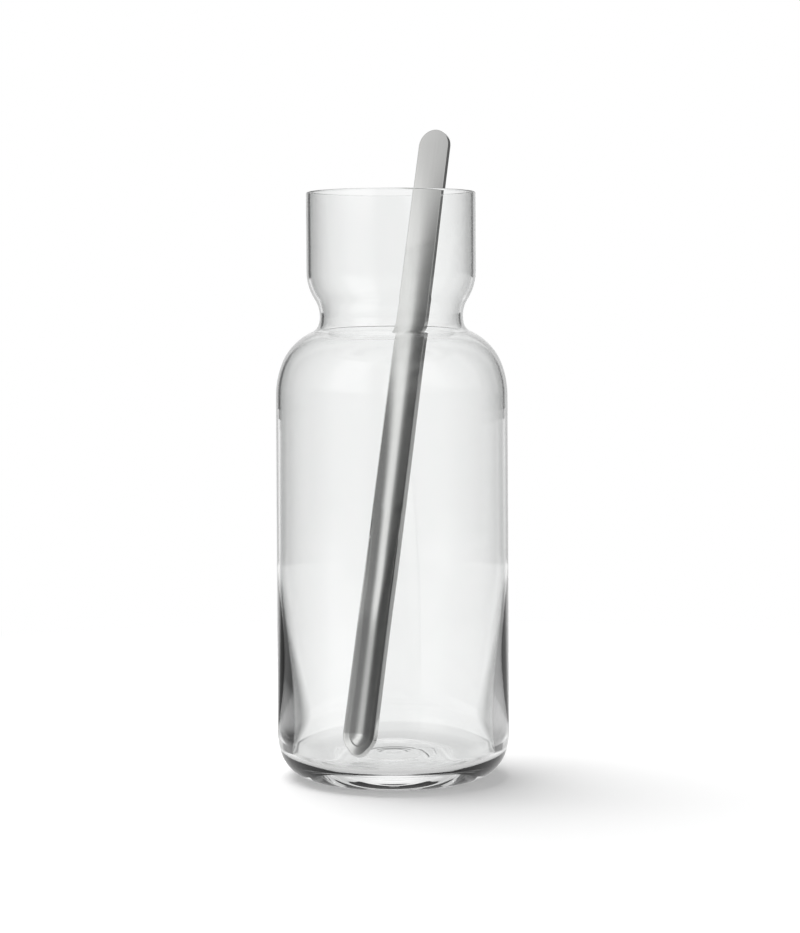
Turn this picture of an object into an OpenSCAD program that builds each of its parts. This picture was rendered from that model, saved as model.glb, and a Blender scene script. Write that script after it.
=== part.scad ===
// Tall glass cocktail pitcher with a collar neck, and the steel stirrer that stands in it.
// The origin is the middle of the foot, on the table. +Z is up, and -Y is the front.

/* [Pitcher body] */
// Height from the table to the rim
pitcher_h = 238.6; // [225:0.1:255]
// Outer diameter low down, just above the foot
body_d = 95; // [88:0.1:104]
// How much narrower the body is below the shoulder than above the foot
body_taper = 0.7; // [0:0.1:3]
// Thickness of the glass in the neck, the shoulder and the upper body
wall = 1.6; // [1.2:0.1:2.4]

/* [Neck] */
// Outer diameter of the straight collar
collar_d = 68.8; // [64:0.1:74]
// Outer diameter at the narrowest place
waist_d = 58.2; // [52:0.1:61]
// Depth of the narrowest place below the rim
waist_drop = 50.2; // [44:0.1:60]
// Radius of the bend that turns the collar inwards
collar_round = 21.4; // [14:0.1:26]
// Radius of the hollow bend at the waist
waist_round = 12.6; // [9:0.1:16]

/* [Shoulder] */
// Angle over which the waist bend goes on below the narrowest place
waist_turn = 12; // [6:1:20]
// Radius of the tight crease between the neck and the shoulder
crease_round = 5.2; // [3:0.1:7]
// Steepness of the shoulder at the crease, measured from the vertical
shoulder_slope = 65.7; // [58:0.1:72]
// Steepness at which the round shoulder changes to its wider lower bend
shoulder_split = 19.7; // [12:0.1:30]
// Radius of the lower bend as a share of the upper one
shoulder_share = 1.54; // [1:0.01:2]

/* [Foot and floor] */
// Radius of the bend that rolls under the foot
foot_round = 14.5; // [10:0.1:18]
// Radius of the wider bend above it
foot_side_round = 29; // [22:0.1:40]
// Steepness at which the two bends of the foot meet
foot_split = 17; // [8:1:30]
// Thickness of the glass under the floor
floor_t = 11.6; // [8:0.1:16]
// How much lower the floor is at the wall than in the middle
floor_drop = 3; // [0.5:0.1:4]
// Radius of the level middle of the floor
floor_flat_r = 13; // [5:0.5:20]
// Radius between the floor and the wall, inside
floor_round = 5; // [3:0.1:9]
// Thickness of the wall just above the floor
base_wall = 6.3; // [4:0.1:8]
// Height at which the wall starts to thicken towards the floor
swell_high = 86; // [76:1:110]
// Height above the bend of the floor below which it is as thick as just above the floor
swell_rise = 1.4; // [0.4:0.2:20]

/* [Stirrer] */
// Length from the round top to the round tip
stirrer_l = 260; // [245:0.5:280]
// Width across the flat top
stirrer_w = 14; // [12:0.1:15]
// Width across the gutter at the tip
gutter_w = 14.8; // [13:0.1:16]
// Thickness of the flat top, and height of the sides all along
stirrer_t = 2.3; // [1.8:0.1:3]
// Depth of the groove where it is as wide as the bar, and narrower in proportion
groove_depth = 2.4; // [1.8:0.1:2.8]
// Depth from the lips to the back of the gutter
gutter_t = 5; // [4.2:0.1:6.5]
// Length of the gutter above the tip over which the groove keeps its depth
gutter_l = 90; // [60:1:100]
// Length over which the groove fades out into the flat bar
fade_l = 158; // [110:1:165]
// Width of the sloping lip beside the groove, at the tip
lip_w = 2.4; // [1.5:0.1:3]
// Length over which the lips narrow to nothing above the tip
lip_l = 94; // [80:1:120]

/* [Stirrer at rest] */
// Place of the tip to the left of the middle of the floor
tip_left = 14; // [6:0.1:16]
// Place of the tip in front of the middle of the floor
tip_front = 14.5; // [6:0.1:17]
// Where it leans on the rim, turned from straight back towards the right
lean_place = 30.6; // [0:0.1:60]
// Gap to the rim and to the floor
rest_gap = 0.25; // [0.1:0.05:0.5]

/* [Hidden] */

// Smoothness of the round walls
$fn = 128;
// Degrees from point to point along a bend of the outline
bend_step = 4;
// Rows over the thickening wall and the floor, over each end of the stirrer and along its bar
swell_rows = 14;
floor_rows = 12;
end_rows = 8;
bar_rows = 38;
// Columns across the front of the stirrer, and as many across its back
columns = 16;
// Bow of the flat top of the bar, front and back
bow = 0.06;
// Width that the lips never go below
edge = 0.15;
// How much the lips slope down into the groove
lip_slope = 0.42;
// How much the gutter is drawn to a rounded vee, where next to nothing is a plain bowl
vee = 2.4;
plain = 0.01;

body_r = body_d / 2;
body_top_r = body_r - body_taper / 2;
collar_r = collar_d / 2;
waist_r = waist_d / 2;
waist_z = pitcher_h - waist_drop;

// Points along a bend, by its centre, its radius and its first and last angle
function bend(centre, r, from, to) =
    let (steps = max(2, ceil(abs(to - from) / bend_step)))
    [for (i = [0 : steps]) let (a = from + (to - from) * i / steps)
        centre + r * [cos(a), sin(a)]];

// The collar bend and the waist bend touch on the line between their centres
neck_reach = collar_round + waist_round;
neck_turn = acos(1 - (collar_r - waist_r) / neck_reach);
collar_centre = [collar_r - collar_round, waist_z + neck_reach * sin(neck_turn)];
waist_centre = [waist_r + waist_round, waist_z];

// The crease goes on from the waist bend, with the same direction where they meet
crease_centre = waist_centre
    - (waist_round - crease_round) * [cos(waist_turn), sin(waist_turn)];

// The upper shoulder starts at the steepness of the shoulder, where the crease ends
crease_end = crease_centre - crease_round * [cos(shoulder_slope), sin(shoulder_slope)];
shoulder_r = (body_top_r - crease_end[0])
    / (cos(shoulder_split) - cos(shoulder_slope) + shoulder_share * (1 - cos(shoulder_split)));
shoulder_low_r = shoulder_share * shoulder_r;
shoulder_centre = crease_end - shoulder_r * [cos(shoulder_slope), sin(shoulder_slope)];
shoulder_low_centre = shoulder_centre
    - (shoulder_low_r - shoulder_r) * [cos(shoulder_split), sin(shoulder_split)];

// The skin of the pitcher from the collar down to the shoulder, at a depth inside the outside
function neck_and_shoulder(depth) = concat(
    bend(collar_centre, collar_round - depth, 0, -neck_turn),
    bend(waist_centre, waist_round + depth, 180 - neck_turn, 180 + waist_turn),
    bend(crease_centre, crease_round + depth, 180 + waist_turn, 180 + shoulder_slope),
    bend(shoulder_centre, shoulder_r - depth, shoulder_slope, shoulder_split),
    bend(shoulder_low_centre, shoulder_low_r - depth, shoulder_split, 0)
);

// The foot is a wide bend that runs into the bend which rolls under
foot_r = body_r - foot_side_round + (foot_side_round - foot_round) * cos(foot_split);
foot_centre = [foot_r, foot_round];
foot_side_centre = foot_centre
    - (foot_side_round - foot_round) * [cos(foot_split), -sin(foot_split)];
function foot() = concat(
    bend(foot_side_centre, foot_side_round, 0, -foot_split),
    bend(foot_centre, foot_round, -foot_split, -90)
);

// A share from 0 to 1 that starts and ends softly
function ease(share) = let (t = min(1, max(0, share))) t * t * (3 - 2 * t);

// Inside, the wall thickens softly from the side to the base, and a bend runs out into the floor
base_inner_r = body_r - base_wall;
swell_low = floor_t + floor_round + swell_rise;
floor_centre = [base_inner_r - floor_round, floor_t - floor_drop + floor_round];
// The floor is level in the middle and falls softly towards the wall
function floor_at(r) =
    floor_t - floor_drop * ease((r - floor_flat_r) / (floor_centre[0] - floor_flat_r));
function swell_and_floor() = concat(
    [for (i = [0 : swell_rows]) let (t = i / swell_rows)
        [body_r - wall - (base_wall - wall) * ease(t), swell_high + (swell_low - swell_high) * t]],
    bend(floor_centre, floor_round, 0, -90),
    [for (i = [1 : floor_rows])
        let (r = floor_centre[0] + (floor_flat_r - floor_centre[0]) * i / floor_rows)
        [r, floor_at(r)]]
);

function backwards(points) = [for (i = [len(points) - 1 : -1 : 0]) points[i]];

// The rim is a full round, as wide as the wall
rim_centre = [collar_r - wall / 2, pitcher_h - wall / 2];

module glass_pitcher() {
    outline = concat(
        bend(rim_centre, wall / 2, 180, 0),
        neck_and_shoulder(0),
        foot(),
        [[0, 0], [0, floor_t]],
        backwards(swell_and_floor()),
        backwards(neck_and_shoulder(wall))
    );
    color([0.90, 0.94, 0.95, 0.35])
        rotate_extrude()
            polygon(outline);
}

// The stirrer is drawn along Z, from the middle of its round tip, with its back towards +X.
// The outer edges of its lips lie in the plane x = 0, and the groove is pressed in behind them.
tip_r = gutter_w / 2;
top_r = stirrer_w / 2;
axis_l = stirrer_l - tip_r - top_r;

// How much of a gutter the bar is at a height, and how much of a lip it has
function gutter_at(z) = ease((gutter_l + fade_l - z) / fade_l);
function lip_at(z) = sqrt(max(0, lip_l - z) / lip_l);

// The rise of the groove from its middle (t is 0) to its edge (t is 1)
function hollow(t, v) = (sqrt(1 + v * t * t) - 1) / (sqrt(1 + v) - 1);

// The closed section at a height as [x, y]: the groove, a lip, the back and the other lip
function section(z) =
    let (
        gutter = gutter_at(z),
        lip_part = lip_at(z),
        half_w = tip_r + (top_r - tip_r) * z / axis_l,
        lip = edge + lip_w * lip_part,
        groove_w = half_w - lip,
        groove = bow + (groove_depth * groove_w / half_w - bow) * gutter,
        sink = lip_slope * lip_w * lip_part * (1 + pow(1 - lip_part, 3)),
        bulge = bow + (gutter_t - stirrer_t - bow) * gutter
    )
    concat(
        [for (j = [0 : columns]) let (t = 2 * j / columns - 1)
            [sink + groove * (1 - hollow(t, plain + vee * gutter)), groove_w * t]],
        [[0, half_w]],
        [for (j = [0 : columns]) let (a = 180 * j / columns)
            [stirrer_t + bulge * sin(a), half_w * cos(a)]],
        [[0, -half_w]]
    );
count = 2 * columns + 4;

// The section swept round an end: a is 0 at the bar and 90 at the very end
function swept(z, a, way) =
    [for (p = section(z)) [p[0], p[1] * cos(a), z + way * abs(p[1]) * sin(a)]];

// At the very end the two halves of the section fall together, so that only one is kept
half = columns / 2;
half_count = columns + 3;
function one_half(points) = [for (i = [half : half + half_count - 1]) points[i]];

loops = concat(
    [for (i = [end_rows - 1 : -1 : 1]) swept(0, 90 * i / end_rows, -1)],
    [for (i = [0 : bar_rows]) swept(axis_l * i / bar_rows, 0, 1)],
    [for (i = [1 : end_rows - 1]) swept(axis_l, 90 * i / end_rows, 1)]
);
last = len(loops) - 1;
stirrer_points = concat(
    [for (points = loops) each points],
    one_half(swept(0, 90, -1)),
    one_half(swept(axis_l, 90, 1))
);
tip_start = len(loops) * count;
top_start = tip_start + half_count;

// The place of a point of the section among the kept half, with the left one on the right one
function on_half(i) =
    let (k = i % count, m = k <= columns ? columns - k : 3 * columns + 4 - k)
    (k >= half && k < half + half_count ? k : m) - half;

// A four-cornered patch as two triangles
function patch(a, b, c, d) = [[a, b, c], [a, c, d]];

stirrer_faces = concat(
    [for (i = [0 : last - 1], j = [0 : count - 1]) let (k = i * count, m = (j + 1) % count)
        each patch(k + j, k + m, k + count + m, k + count + j)],
    [for (j = [0 : count - 1]) let (m = (j + 1) % count)
        each patch(tip_start + on_half(j), tip_start + on_half(m), m, j)],
    [for (j = [0 : count - 1]) let (k = last * count, m = (j + 1) % count)
        each patch(k + j, k + m, top_start + on_half(m), top_start + on_half(j))]
);

// It stands on the floor on its round tip, and leans with its back on the rim
rim_inner_r = collar_r - wall;
rest_r = sqrt(pow(rim_inner_r, 2) - pow(tip_r, 2)) - stirrer_t - rest_gap;
rim_place = [rest_r * sin(lean_place), rest_r * cos(lean_place), pitcher_h - wall / 2];
// The floor under the tip's lowest place, which is nearer to the middle by its depth at most
tip_floor = floor_at(norm([tip_left, tip_front]) - gutter_t);
function tip_at(reach) = [-tip_left, -tip_front, tip_floor + rest_gap + reach];
function lean_of(way) = atan2(norm([way[0], way[1]]), way[2]);
// How far the tip reaches below its middle, once the bar leans
first_lean = lean_of(rim_place - tip_at(tip_r));
tip_reach = stirrer_t * sin(first_lean)
    + norm([(gutter_t - stirrer_t) * sin(first_lean), tip_r * cos(first_lean)]);
tip_place = tip_at(tip_reach);
way = rim_place - tip_place;
lean = lean_of(way);
lean_towards = atan2(way[1], way[0]);
// Turned about its own length until its back faces the rim squarely
own_turn = atan(tan(90 - lean_place - lean_towards) * cos(lean));

module stirrer() {
    color([0.72, 0.73, 0.74])
        translate(tip_place)
            rotate([0, lean, lean_towards])
                rotate([0, 0, own_turn])
                    polyhedron(points = stirrer_points, faces = stirrer_faces);
}

glass_pitcher();
stirrer();
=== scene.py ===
import bmesh
import bpy
from math import acos, atan, atan2, ceil, cos, degrees, exp, hypot, pi, radians, sin, sqrt, tan
from mathutils import Matrix, Vector


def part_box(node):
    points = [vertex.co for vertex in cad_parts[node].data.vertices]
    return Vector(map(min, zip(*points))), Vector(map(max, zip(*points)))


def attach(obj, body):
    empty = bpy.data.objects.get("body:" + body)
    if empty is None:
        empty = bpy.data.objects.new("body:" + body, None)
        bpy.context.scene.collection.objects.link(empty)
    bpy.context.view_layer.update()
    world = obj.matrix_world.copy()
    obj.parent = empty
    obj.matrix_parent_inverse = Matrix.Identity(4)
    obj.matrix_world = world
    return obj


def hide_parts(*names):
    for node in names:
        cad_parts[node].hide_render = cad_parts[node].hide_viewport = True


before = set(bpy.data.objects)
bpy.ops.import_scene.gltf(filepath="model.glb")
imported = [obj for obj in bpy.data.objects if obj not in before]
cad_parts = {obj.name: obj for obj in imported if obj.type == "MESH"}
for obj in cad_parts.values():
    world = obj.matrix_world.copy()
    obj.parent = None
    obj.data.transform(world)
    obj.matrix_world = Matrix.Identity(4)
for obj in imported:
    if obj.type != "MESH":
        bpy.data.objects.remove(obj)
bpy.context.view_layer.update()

scene = bpy.context.scene

# Camera: a long lens a metre in front of the pitcher, level with its waist and tipped down a little.
# The photograph was taken with the camera turned a third of a degree about its own view.
photo_height_px = 933
focal_length_px = 2382
sensor_height_mm = 36
camera_data = bpy.data.cameras.new("camera")
camera_data.sensor_fit = "VERTICAL"
camera_data.sensor_height = sensor_height_mm
camera_data.lens = focal_length_px * sensor_height_mm / photo_height_px
camera_place = Vector((0.0032, -0.9708, 0.1890))
camera_tilt = radians(3.65)
camera_roll = radians(-0.295)
camera = bpy.data.objects.new("camera", camera_data)
camera.matrix_world = (
    Matrix.Translation(camera_place)
    @ Matrix.Rotation(pi / 2 - camera_tilt, 4, "X")
    @ Matrix.Rotation(camera_roll, 4, "Z")
)
scene.collection.objects.link(camera)
scene.camera = camera

# Glass pitcher: one piece of clear, colourless glass, blown thin and turned in a mould.
# Its base is thick and pressed, and its rim is melted to a full round by the flame.
mm = 0.001
pitcher_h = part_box("glass_pitcher")[1].z
body_r = 47.5 * mm
body_top_r = 47.15 * mm
wall = 1.6 * mm
collar_r = 34.4 * mm
waist_r = 29.1 * mm
waist_z = pitcher_h - 50.2 * mm
collar_round = 21.4 * mm
waist_round = 12.6 * mm
waist_turn = 12
crease_round = 5.2 * mm
shoulder_slope = 65.7
shoulder_split = 19.7
shoulder_share = 1.54
foot_round = 14.5 * mm
foot_side_round = 29 * mm
foot_split = 17
floor_t = 11.6 * mm
floor_round = 5 * mm
floor_drop = 3 * mm
floor_flat_r = 13 * mm
base_wall = 6.3 * mm
swell_high = 86 * mm
swell_low = 18 * mm
bend_step = 1.5
rim_steps = 8
side_steps = 24
swell_steps = 40
floor_steps = 110
pitcher_steps = 224
glass_tints = ((0.985, 0.995, 0.99, 1), (1, 1, 1, 1))
glass_index = 1.5
wave_scale = 130
wave_height = 0.006 * mm
wave_stretch = 0.6


def bend(centre, radius, start, end):
    """Points along a bend of the outline, by its centre, its radius and its first and last angle."""
    steps = max(3, ceil(abs(end - start) / bend_step))
    points = []
    for i in range(steps + 1):
        angle = radians(start + (end - start) * i / steps)
        points.append((centre[0] + radius * cos(angle), centre[1] + radius * sin(angle)))
    return points


def away(point, distance, angle):
    """The point at a distance from another, in the direction of an angle."""
    return (point[0] + distance * cos(radians(angle)), point[1] + distance * sin(radians(angle)))


neck_reach = collar_round + waist_round
neck_turn = degrees(acos(1 - (collar_r - waist_r) / neck_reach))
collar_centre = (collar_r - collar_round, waist_z + neck_reach * sin(radians(neck_turn)))
waist_centre = (waist_r + waist_round, waist_z)
crease_centre = away(waist_centre, crease_round - waist_round, waist_turn)
crease_end = away(crease_centre, -crease_round, shoulder_slope)
split_cos = cos(radians(shoulder_split))
shoulder_r = (body_top_r - crease_end[0]) / (
    split_cos - cos(radians(shoulder_slope)) + shoulder_share * (1 - split_cos)
)
shoulder_low_r = shoulder_share * shoulder_r
shoulder_centre = away(crease_end, -shoulder_r, shoulder_slope)
shoulder_low_centre = away(shoulder_centre, shoulder_r - shoulder_low_r, shoulder_split)


def neck_and_shoulder(depth):
    """The skin from the collar down to the shoulder, at a depth inside the outside."""
    return (
        bend(collar_centre, collar_round - depth, 0, -neck_turn)
        + bend(waist_centre, waist_round + depth, 180 - neck_turn, 180 + waist_turn)[1:]
        + bend(crease_centre, crease_round + depth, 180 + waist_turn, 180 + shoulder_slope)[1:]
        + bend(shoulder_centre, shoulder_r - depth, shoulder_slope, shoulder_split)[1:]
        + bend(shoulder_low_centre, shoulder_low_r - depth, shoulder_split, 0)[1:]
    )


foot_centre = (
    body_r - foot_side_round + (foot_side_round - foot_round) * cos(radians(foot_split)),
    foot_round,
)
foot_side_centre = away(foot_centre, foot_round - foot_side_round, -foot_split)
base_inner_r = body_r - base_wall
floor_centre = (base_inner_r - floor_round, floor_t - floor_drop + floor_round)
rim_centre = (collar_r - wall / 2, pitcher_h - wall / 2)


def straight(first, last, steps):
    """Points between two others, so that a long straight stretch can carry soft waves."""
    return [
        tuple(a + (b - a) * i / steps for a, b in zip(first, last))
        for i in range(1, steps)
    ]


skin_outside = neck_and_shoulder(0)
foot_bends = (
    bend(foot_side_centre, foot_side_round, 0, -foot_split)
    + bend(foot_centre, foot_round, -foot_split, -90)[1:]
)

# Under the foot the glass is pushed up a little inside a ring that stands on the table.
under_r = 31 * mm
under_h = 4.5 * mm
under_steps = 40
under_points = [
    (under_r * (1 - i / under_steps), under_h * (1 - (1 - i / under_steps) ** 2) ** 2)
    for i in range(under_steps)
]
outside = (
    bend(rim_centre, wall / 2, 90, 0)
    + straight((collar_r, pitcher_h - wall / 2), skin_outside[0], rim_steps)
    + skin_outside
    + straight(skin_outside[-1], foot_bends[0], side_steps)
    + foot_bends
    + under_points
)
skin_inside = neck_and_shoulder(wall)


def ease(share):
    """A share from 0 to 1 that starts and ends softly."""
    share = min(1, max(0, share))
    return share * share * (3 - 2 * share)


swell_points = []
for i in range(swell_steps + 1):
    share = i / swell_steps
    swell_points.append((
        body_r - wall - (base_wall - wall) * ease(share),
        swell_high + (swell_low - swell_high) * share,
    ))
floor_bend = bend(floor_centre, floor_round, 0, -90)


def floor_at(r):
    """The floor is level in the middle and falls softly towards the wall."""
    return floor_t - floor_drop * ease((r - floor_flat_r) / (floor_bend[-1][0] - floor_flat_r))


# The plunger that pressed the floor left low rings in it, given by radius, width and height.
floor_rings = (
    (30 * mm, 1.4 * mm, -0.3 * mm),
    (24 * mm, 1.2 * mm, -0.12 * mm),
    (17 * mm, 1.4 * mm, -0.15 * mm),
    (9 * mm, 1.2 * mm, -0.1 * mm),
)
floor_points = []
for i in range(1, floor_steps):
    r = floor_bend[-1][0] * (1 - i / floor_steps)
    z = floor_at(r)
    for ring_r, ring_w, ring_h in floor_rings:
        z += ring_h * exp(-((r - ring_r) / ring_w) ** 2)
    floor_points.append((r, z))
inside = (
    bend(rim_centre, wall / 2, 90, 180)[1:]
    + straight((collar_r - wall, pitcher_h - wall / 2), skin_inside[0], rim_steps)
    + skin_inside
    + straight(skin_inside[-1], swell_points[0], side_steps)
    + swell_points
    + straight(swell_points[-1], floor_bend[0], rim_steps)
    + floor_bend
    + floor_points
)


def turned_mesh(name, outside, inside):
    """A closed skin turned about the Z axis, from the middle of the foot round the rim to the floor."""
    rows = list(reversed(outside)) + inside
    verts = [(0, 0, under_h)]
    for radius, height in rows:
        for step in range(pitcher_steps):
            angle = 2 * pi * step / pitcher_steps
            verts.append((radius * cos(angle), radius * sin(angle), height))
    verts.append((0, 0, floor_t))
    faces = []
    for step in range(pitcher_steps):
        after = (step + 1) % pitcher_steps
        faces.append((0, 1 + after, 1 + step))
        for row in range(len(rows) - 1):
            start = 1 + row * pitcher_steps
            faces.append((
                start + step, start + after, start + pitcher_steps + after, start + pitcher_steps + step,
            ))
        start = 1 + (len(rows) - 1) * pitcher_steps
        faces.append((start + step, start + after, len(verts) - 1))
    mesh = bpy.data.meshes.new(name)
    mesh.from_pydata(verts, [], faces)
    mesh.shade_smooth()
    return mesh


def clear_glass():
    """Clear glass with the faint waves of blown glass, and a trace of green that comes and goes."""
    material = bpy.data.materials.new("clear_glass")
    material.use_nodes = True
    nodes = material.node_tree.nodes
    links = material.node_tree.links
    shader = nodes["Principled BSDF"]
    where = nodes.new("ShaderNodeTexCoord")
    stretch = nodes.new("ShaderNodeMapping")
    stretch.inputs["Scale"].default_value = (1, 1, wave_stretch)
    links.new(where.outputs["Object"], stretch.inputs["Vector"])
    waves = nodes.new("ShaderNodeTexNoise")
    waves.inputs["Scale"].default_value = wave_scale
    waves.inputs["Detail"].default_value = 1
    links.new(stretch.outputs[0], waves.inputs["Vector"])
    tint = nodes.new("ShaderNodeValToRGB")
    for stop, colour in zip(tint.color_ramp.elements, glass_tints):
        stop.color = colour
    links.new(waves.outputs[0], tint.inputs["Fac"])
    links.new(tint.outputs["Color"], shader.inputs["Base Color"])
    relief = nodes.new("ShaderNodeBump")
    relief.inputs["Strength"].default_value = 1
    relief.inputs["Distance"].default_value = wave_height
    links.new(waves.outputs[0], relief.inputs["Height"])
    links.new(relief.outputs[0], shader.inputs["Normal"])
    shader.inputs["Transmission Weight"].default_value = 1
    shader.inputs["IOR"].default_value = glass_index
    shader.inputs["Roughness"].default_value = 0
    return material


pitcher = bpy.data.objects.new("glass_pitcher_shape", turned_mesh("glass_pitcher_shape", outside, inside))
scene.collection.objects.link(pitcher)
pitcher.data.materials.append(clear_glass())
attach(pitcher, "pitcher")
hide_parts("glass_pitcher")

# Stirrer: one bar of stainless steel, flat at the top and pressed to a shallow gutter below.
# It stands in the pitcher on its round tip and leans with its back on the rim.
# Its satin polish was drawn along the bar, which leaves a very fine grain.
stirrer_l = 260 * mm
stirrer_w = 14 * mm
gutter_w = 14.8 * mm
stirrer_t = 2.3 * mm
groove_depth = 2.4 * mm
gutter_t = 5 * mm
gutter_l = 90 * mm
fade_l = 158 * mm
lip_w = 2.4 * mm
lip_l = 94 * mm
bow = 0.06 * mm
lip_edge = 0.15 * mm
edge_round = 0.3 * mm
lip_slope = 0.42
step_w = 0.2 * mm
step_h = 0.3 * mm
vee = 2.4
plain_bowl = 0.01
bar_rows = 120
steps_across = 26
edge_steps = 5
most_of_side = 0.45
end_steps = 48
lip_shares = (0, 0.04, 0.3, 0.6)
merge_distance = 1e-7
steel_tints = ((0.3, (0.74, 0.74, 0.73, 1)), (0.7, (0.78, 0.78, 0.77, 1)))
steel_roughness = 0.12
grain_scale = 700
grain_stretch = (6, 6, 0.12)
grain_strength = 0.12
grain_height = 0.01 * mm
tip_left = 14 * mm
tip_front = 14.5 * mm
lean_place = radians(30.6)
rest_gap = 0.25 * mm
tip_r = gutter_w / 2
top_r = stirrer_w / 2
axis_l = stirrer_l - tip_r - top_r
rim_inner_r = collar_r - wall
rest_r = sqrt(rim_inner_r ** 2 - tip_r ** 2) - stirrer_t - rest_gap
rim_place = Vector((rest_r * sin(lean_place), rest_r * cos(lean_place), pitcher_h - wall / 2))
tip_floor = floor_at(hypot(tip_left, tip_front) - gutter_t)
way = rim_place - Vector((-tip_left, -tip_front, tip_floor + rest_gap + tip_r))
first_lean = atan2(hypot(way.x, way.y), way.z)
tip_reach = stirrer_t * sin(first_lean) + hypot(
    (gutter_t - stirrer_t) * sin(first_lean), tip_r * cos(first_lean),
)
tip_place = Vector((-tip_left, -tip_front, tip_floor + rest_gap + tip_reach))
way = rim_place - tip_place
lean = atan2(hypot(way.x, way.y), way.z)
lean_towards = atan2(way.y, way.x)
own_turn = atan(tan(pi / 2 - lean_place - lean_towards) * cos(lean))


def rounded(before, corner, after, radius, steps):
    """A corner of a section rounded off, as points from one side of it to the other."""
    before = Vector(before)
    corner = Vector(corner)
    after = Vector(after)
    to_before = (before - corner).normalized()
    to_after = (after - corner).normalized()
    opening = to_before.angle(to_after)
    reach = radius / tan(opening / 2)
    reach = min(reach, most_of_side * (before - corner).length, most_of_side * (after - corner).length)
    first = corner + to_before * reach
    last = corner + to_after * reach
    points = []
    for i in range(steps + 1):
        t = i / steps
        point = first * (1 - t) ** 2 + corner * 2 * t * (1 - t) + last * t * t
        points.append((point.x, point.y))
    return points


def half_section(z):
    """One half of the section, from the middle of the groove over the lip to the middle of the back."""
    gutter = ease((gutter_l + fade_l - z) / fade_l)
    lip_part = sqrt(max(0, lip_l - z) / lip_l)
    half_w = tip_r + (top_r - tip_r) * min(1, max(0, z / axis_l))
    lip = lip_edge + lip_w * lip_part
    sink = lip_slope * lip_w * lip_part * (1 + (1 - lip_part) ** 3)
    step = step_h * lip_part
    groove_half = half_w - lip - step_w * lip_part
    groove = bow + (groove_depth * groove_half / half_w - bow) * gutter
    bulge = bow + (gutter_t - stirrer_t - bow) * gutter
    draw = plain_bowl + vee * gutter
    points = []
    for i in range(steps_across + 1):
        t = i / steps_across
        rise = (sqrt(1 + draw * t * t) - 1) / (sqrt(1 + draw) - 1)
        points.append((sink + step + groove * (1 - rise), groove_half * t))
    inner = Vector((sink, half_w - lip))
    outer = Vector((0, half_w))
    for share in lip_shares:
        spot = inner.lerp(outer, share)
        points.append((spot.x, spot.y))
    points += rounded(inner, outer, (stirrer_t, half_w), edge_round, edge_steps)
    for i in range(edge_steps + 1):
        turn = pi / 2 * i / edge_steps
        y = half_w - edge_round * (1 - cos(turn))
        x = stirrer_t + bulge * sqrt(max(0, 1 - (y / half_w) ** 2))
        points.append((x - edge_round * (1 - gutter) * (1 - sin(turn)), y))
    first = acos(1 - edge_round / half_w)
    for i in range(1, steps_across + 1):
        angle = first + (pi / 2 - first) * i / steps_across
        points.append((stirrer_t + bulge * sin(angle), half_w * cos(angle)))
    return points


def stirrer_mesh(name):
    """Rows of sections along the bar, with a round tip and a round top swept from the end rows."""
    verts = []
    faces = []
    loops = []
    for i in range(bar_rows + 1):
        z = axis_l * i / bar_rows
        half = half_section(z)
        mirrored = [(x, -y) for x, y in reversed(half[1:-1])]
        loop = []
        for x, y in half + mirrored:
            loop.append(len(verts))
            verts.append((x, y, z))
        loops.append(loop)
    for low, high in zip(loops, loops[1:]):
        count = len(low)
        for j in range(count):
            after = (j + 1) % count
            faces.append((low[j], low[after], high[after], high[j]))
    for z, way_out in ((0, -1), (axis_l, 1)):
        half = half_section(z)
        columns = []
        for i in range(end_steps + 1):
            angle = pi * i / end_steps
            column = []
            for x, y in half:
                column.append(len(verts))
                verts.append((x, y * cos(angle), z + way_out * y * sin(angle)))
            columns.append(column)
        for left, right in zip(columns, columns[1:]):
            for j in range(len(half) - 1):
                face = (left[j], left[j + 1], right[j + 1], right[j])
                faces.append(face if way_out < 0 else face[::-1])
    mesh = bpy.data.meshes.new(name)
    mesh.from_pydata(verts, [], faces)
    work = bmesh.new()
    work.from_mesh(mesh)
    bmesh.ops.remove_doubles(work, verts=work.verts, dist=merge_distance)
    bmesh.ops.recalc_face_normals(work, faces=work.faces)
    work.to_mesh(mesh)
    work.free()
    mesh.shade_smooth()
    return mesh


def satin_steel():
    """Stainless steel with a fine satin grain along the bar, a little blotchy where hands polish it."""
    material = bpy.data.materials.new("satin_steel")
    material.use_nodes = True
    nodes = material.node_tree.nodes
    links = material.node_tree.links
    shader = nodes["Principled BSDF"]
    shader.inputs["Metallic"].default_value = 1
    shader.inputs["Roughness"].default_value = steel_roughness
    where = nodes.new("ShaderNodeTexCoord")
    stretch = nodes.new("ShaderNodeMapping")
    stretch.inputs["Scale"].default_value = grain_stretch
    links.new(where.outputs["Object"], stretch.inputs["Vector"])
    grain = nodes.new("ShaderNodeTexNoise")
    grain.inputs["Scale"].default_value = grain_scale
    grain.inputs["Detail"].default_value = 3
    links.new(stretch.outputs[0], grain.inputs["Vector"])
    tint = nodes.new("ShaderNodeValToRGB")
    for stop, (place, colour) in zip(tint.color_ramp.elements, steel_tints):
        stop.position = place
        stop.color = colour
    links.new(grain.outputs[0], tint.inputs["Fac"])
    links.new(tint.outputs["Color"], shader.inputs["Base Color"])
    relief = nodes.new("ShaderNodeBump")
    relief.inputs["Strength"].default_value = grain_strength
    relief.inputs["Distance"].default_value = grain_height
    links.new(grain.outputs[0], relief.inputs["Height"])
    links.new(relief.outputs[0], shader.inputs["Normal"])
    return material


stirrer = bpy.data.objects.new("stirrer_shape", stirrer_mesh("stirrer_shape"))
stirrer.matrix_world = (
    Matrix.Translation(tip_place)
    @ Matrix.Rotation(lean_towards, 4, "Z")
    @ Matrix.Rotation(lean, 4, "Y")
    @ Matrix.Rotation(own_turn, 4, "Z")
)
scene.collection.objects.link(stirrer)
stirrer.data.materials.append(satin_steel())
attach(stirrer, "stirrer")
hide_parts("stirrer")

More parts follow.
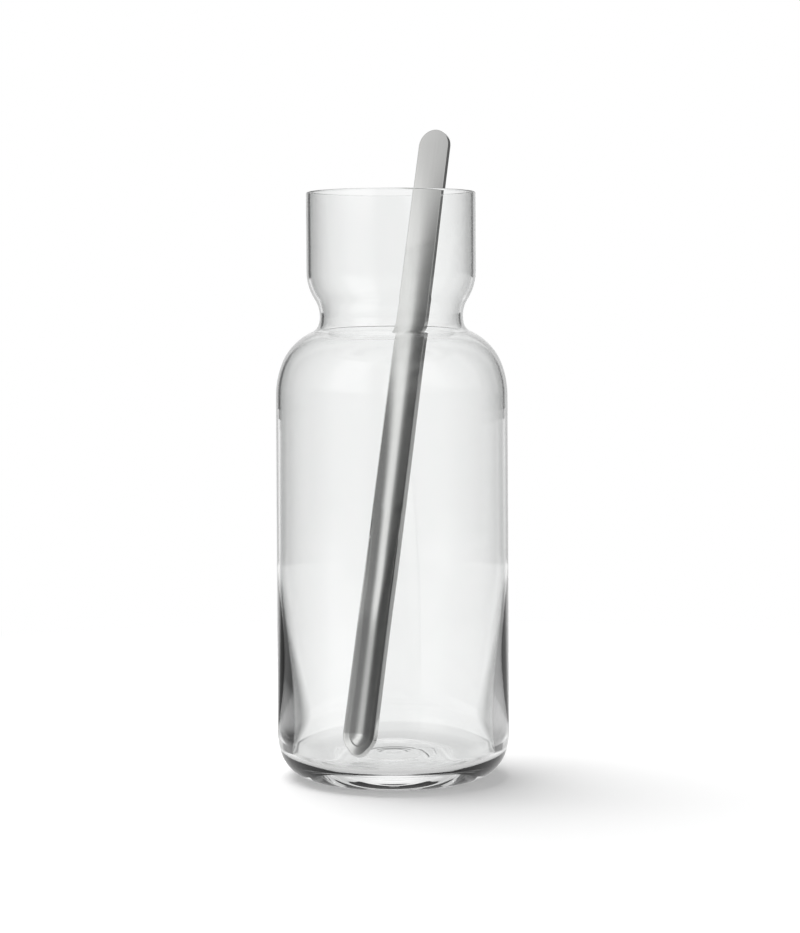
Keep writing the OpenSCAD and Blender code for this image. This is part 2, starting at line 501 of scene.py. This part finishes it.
# Table: a wide white table that stands just below the foot. Near the pitcher it takes the soft shadow,
# and far off it is plain white. In the glass and the steel it is a painted glow instead, as bright as the
# room in that direction and dimmer towards the front, with a painted shadow right around the foot, where
# the glass would shade a white table.
table_r = 4
table_corners = 64
table_below = 0.1 * mm
table_white = 0.7
table_glow = 0.3
plain_from = 0.25
plain_to = 0.5
foot_shade = 0.6
foot_shade_from = 0.03
foot_shade_to = 0.07
around_foot = 0.88
room_from = 0.095
room_to = 0.125
front_dim_from = -0.9
front_dim_to = -0.25
low_level = 0.5
turns = (
    -180, -152, -142, -118, -98, -91, -84, -77, -71, -65, -60, -48,
    -36, -31, -28, -25.5, -22, -19, -17, -15, 8, 30, 100, 118, 142, 152, 180,
)
levels = (
    0.98, 0.98, 0.2, 0.08, 0.11, 0.14, 0.2, 0.3, 0.44, 0.65, 0.92, 1.1,
    1.1, 1.02, 0.92, 0.8, 0.57, 0.4, 0.27, 0.24, 0.3, 0.4, 0.4, 0.45, 0.42, 0.98, 0.98,
)


def turned_level(nodes, links, turns, levels):
    """A level by the direction from the middle, given at turns away from the front.

    It also gives the split place and the place itself, for more levels by them.
    """
    where = nodes.new("ShaderNodeTexCoord")
    split = nodes.new("ShaderNodeSeparateXYZ")
    links.new(where.outputs["Object"], split.inputs[0])
    front = nodes.new("ShaderNodeMath")
    front.operation = "MULTIPLY"
    front.inputs[1].default_value = -1
    links.new(split.outputs["Y"], front.inputs[0])
    turn = nodes.new("ShaderNodeMath")
    turn.operation = "ARCTAN2"
    links.new(split.outputs["X"], turn.inputs[0])
    links.new(front.outputs[0], turn.inputs[1])
    along = nodes.new("ShaderNodeMapRange")
    along.inputs["From Min"].default_value = radians(turns[0])
    along.inputs["From Max"].default_value = radians(turns[-1])
    links.new(turn.outputs[0], along.inputs["Value"])
    ramp = nodes.new("ShaderNodeValToRGB")
    links.new(along.outputs[0], ramp.inputs["Fac"])
    stops = ramp.color_ramp.elements
    while len(stops) < len(turns):
        stops.new(0.5)
    for stop, place, level in zip(stops, turns, levels):
        stop.position = (place - turns[0]) / (turns[-1] - turns[0])
        stop.color = (level, level, level, 1)
    return ramp.outputs["Color"], split, where.outputs["Object"]


def soft_step(nodes, links, value, first, last, low, high):
    """A level that goes softly from low to high while a value goes from first to last."""
    step = nodes.new("ShaderNodeMapRange")
    step.interpolation_type = "SMOOTHSTEP"
    step.inputs["From Min"].default_value = first
    step.inputs["From Max"].default_value = last
    step.inputs["To Min"].default_value = low
    step.inputs["To Max"].default_value = high
    links.new(value, step.inputs["Value"])
    return step.outputs[0]


def product(nodes, links, a, b):
    """Two levels multiplied."""
    node = nodes.new("ShaderNodeMath")
    node.operation = "MULTIPLY"
    links.new(a, node.inputs[0])
    links.new(b, node.inputs[1])
    return node.outputs[0]


bpy.ops.mesh.primitive_circle_add(
    vertices=table_corners, radius=table_r, fill_type="NGON", location=(0, 0, -table_below),
)
table = bpy.context.object
table.name = "table"
table_material = bpy.data.materials.new("white_table")
table_material.use_nodes = True
nodes = table_material.node_tree.nodes
links = table_material.node_tree.links
nodes.clear()
output = nodes.new("ShaderNodeOutputMaterial")
diffuse = nodes.new("ShaderNodeBsdfDiffuse")
diffuse.inputs["Color"].default_value = (table_white, table_white, table_white, 1)
glow = nodes.new("ShaderNodeEmission")
plain = nodes.new("ShaderNodeEmission")
plain.inputs["Color"].default_value = (1, 1, 1, 1)
path = nodes.new("ShaderNodeLightPath")
glow_strength = nodes.new("ShaderNodeMath")
glow_strength.operation = "MULTIPLY"
glow_strength.inputs[1].default_value = table_glow
links.new(path.outputs["Is Camera Ray"], glow_strength.inputs[0])
links.new(glow_strength.outputs[0], glow.inputs["Strength"])
lit = nodes.new("ShaderNodeAddShader")
links.new(diffuse.outputs[0], lit.inputs[0])
links.new(glow.outputs[0], lit.inputs[1])
level, split, spot = turned_level(nodes, links, turns, levels)
distance = nodes.new("ShaderNodeVectorMath")
distance.operation = "LENGTH"
links.new(spot, distance.inputs[0])
far = soft_step(nodes, links, distance.outputs["Value"], plain_from, plain_to, 0, 1)
# Painted shadow: for rays through the glass and off the steel, the table's glow is darker right around
# the foot.
painted_foot_shadow = soft_step(
    nodes, links, distance.outputs["Value"], foot_shade_from, foot_shade_to, foot_shade, around_foot,
)
# Painted shade: that glow is dimmer towards the front of the table.
front_dim = soft_step(nodes, links, split.outputs["Y"], front_dim_from, front_dim_to, low_level, 1)
painted_table_level = nodes.new("ShaderNodeMapRange")
painted_table_level.inputs["From Min"].default_value = room_from
painted_table_level.inputs["From Max"].default_value = room_to
links.new(distance.outputs["Value"], painted_table_level.inputs["Value"])
links.new(painted_foot_shadow, painted_table_level.inputs["To Min"])
links.new(product(nodes, links, level, front_dim), painted_table_level.inputs["To Max"])
table_mix = nodes.new("ShaderNodeMixShader")
links.new(far, table_mix.inputs[0])
links.new(lit.outputs[0], table_mix.inputs[1])
links.new(plain.outputs[0], table_mix.inputs[2])
# For rays through the glass and off the steel the table is not lit but glows: painted light and shade, a
# level by direction.
painted_table_glow = nodes.new("ShaderNodeEmission")
links.new(painted_table_level.outputs[0], painted_table_glow.inputs["Strength"])
through = nodes.new("ShaderNodeMath")
through.operation = "ADD"
through.use_clamp = True
links.new(path.outputs["Is Transmission Ray"], through.inputs[0])
links.new(path.outputs["Is Glossy Ray"], through.inputs[1])
choice = nodes.new("ShaderNodeMixShader")
links.new(through.outputs[0], choice.inputs[0])
links.new(table_mix.outputs[0], choice.inputs[1])
links.new(painted_table_glow.outputs[0], choice.inputs[2])
links.new(choice.outputs[0], output.inputs["Surface"])
table.data.materials.append(table_material)


# Studio: a white card behind the pitcher that fades to its sides, a curved soft panel around the front,
# brightest on the left and dimmer near the table, and a soft light above.
# The camera sees none of them. The glass and the steel see the card and the panel.
def glow_sheet(name, verts, faces):
    """A sheet that glows, with its material's nodes, links and glow."""
    mesh = bpy.data.meshes.new(name)
    mesh.from_pydata(verts, [], faces)
    sheet = bpy.data.objects.new(name, mesh)
    scene.collection.objects.link(sheet)
    material = bpy.data.materials.new(name)
    material.use_nodes = True
    nodes = material.node_tree.nodes
    links = material.node_tree.links
    nodes.clear()
    output = nodes.new("ShaderNodeOutputMaterial")
    glow = nodes.new("ShaderNodeEmission")
    links.new(glow.outputs[0], output.inputs["Surface"])
    mesh.materials.append(material)
    sheet.visible_camera = False
    return nodes, links, glow


back_y = 0.8
back_half = 0.42
back_x = 0.03
back_high = 1.4
back_level = 0.985
back_side_level = 0.6
fade_from = 0.03
fade_to = 0.3
nodes, links, glow = glow_sheet(
    "backdrop",
    [
        (back_x - back_half, back_y, 0), (back_x + back_half, back_y, 0),
        (back_x + back_half, back_y, back_high), (back_x - back_half, back_y, back_high),
    ],
    [(0, 1, 2, 3)],
)
where = nodes.new("ShaderNodeTexCoord")
split = nodes.new("ShaderNodeSeparateXYZ")
links.new(where.outputs["Object"], split.inputs[0])
aside = nodes.new("ShaderNodeMath")
aside.operation = "ABSOLUTE"
links.new(split.outputs["X"], aside.inputs[0])
fade = soft_step(nodes, links, aside.outputs[0], fade_from, fade_to, back_level, back_side_level)
links.new(fade, glow.inputs["Strength"])

panel_r = 1.2
panel_high = 1.5
dim_low = 0.26
dim_high = 0.32
panel_turns = turns[3:-4]
panel_levels = levels[3:-4]
panel_steps = 64
panel_rows = 12
verts = []
faces = []
for i in range(panel_steps + 1):
    turn = radians(panel_turns[0] + (panel_turns[-1] - panel_turns[0]) * i / panel_steps)
    for j in range(panel_rows + 1):
        verts.append((panel_r * sin(turn), -panel_r * cos(turn), panel_high * j / panel_rows))
for i in range(panel_steps):
    for j in range(panel_rows):
        a = i * (panel_rows + 1) + j
        faces.append((a, a + 1, a + panel_rows + 2, a + panel_rows + 1))
nodes, links, glow = glow_sheet("front_panel", verts, faces)
level, split = turned_level(nodes, links, panel_turns, panel_levels)[:2]
low_dim = soft_step(nodes, links, split.outputs["Z"], dim_low, dim_high, low_level, 1)
links.new(product(nodes, links, level, low_dim), glow.inputs["Strength"])

overhead_size = 1.1
overhead_power = 22
overhead_place = Vector((-0.35, 0.3, 1.2))
overhead_data = bpy.data.lights.new("overhead", "AREA")
overhead_data.shape = "RECTANGLE"
overhead_data.size = overhead_size
overhead_data.size_y = overhead_size
overhead_data.energy = overhead_power
overhead = bpy.data.objects.new("overhead", overhead_data)
scene.collection.objects.link(overhead)
overhead.location = overhead_place
overhead.rotation_euler = (-overhead_place).to_track_quat("-Z", "Y").to_euler()
overhead.visible_glossy = False
overhead.visible_transmission = False
overhead.visible_camera = False

room_grey = 0.13
world = bpy.data.worlds.new("studio")
scene.world = world
world.use_nodes = True
nodes = world.node_tree.nodes
links = world.node_tree.links
nodes.clear()
output = nodes.new("ShaderNodeOutputWorld")
room = nodes.new("ShaderNodeBackground")
room.inputs["Color"].default_value = (room_grey, room_grey, room_grey, 1)
white = nodes.new("ShaderNodeBackground")
white.inputs["Color"].default_value = (1, 1, 1, 1)
path = nodes.new("ShaderNodeLightPath")
choice = nodes.new("ShaderNodeMixShader")
links.new(path.outputs["Is Camera Ray"], choice.inputs[0])
links.new(room.outputs[0], choice.inputs[1])
links.new(white.outputs[0], choice.inputs[2])
links.new(choice.outputs[0], output.inputs["Surface"])

scene.view_settings.view_transform = "Standard"
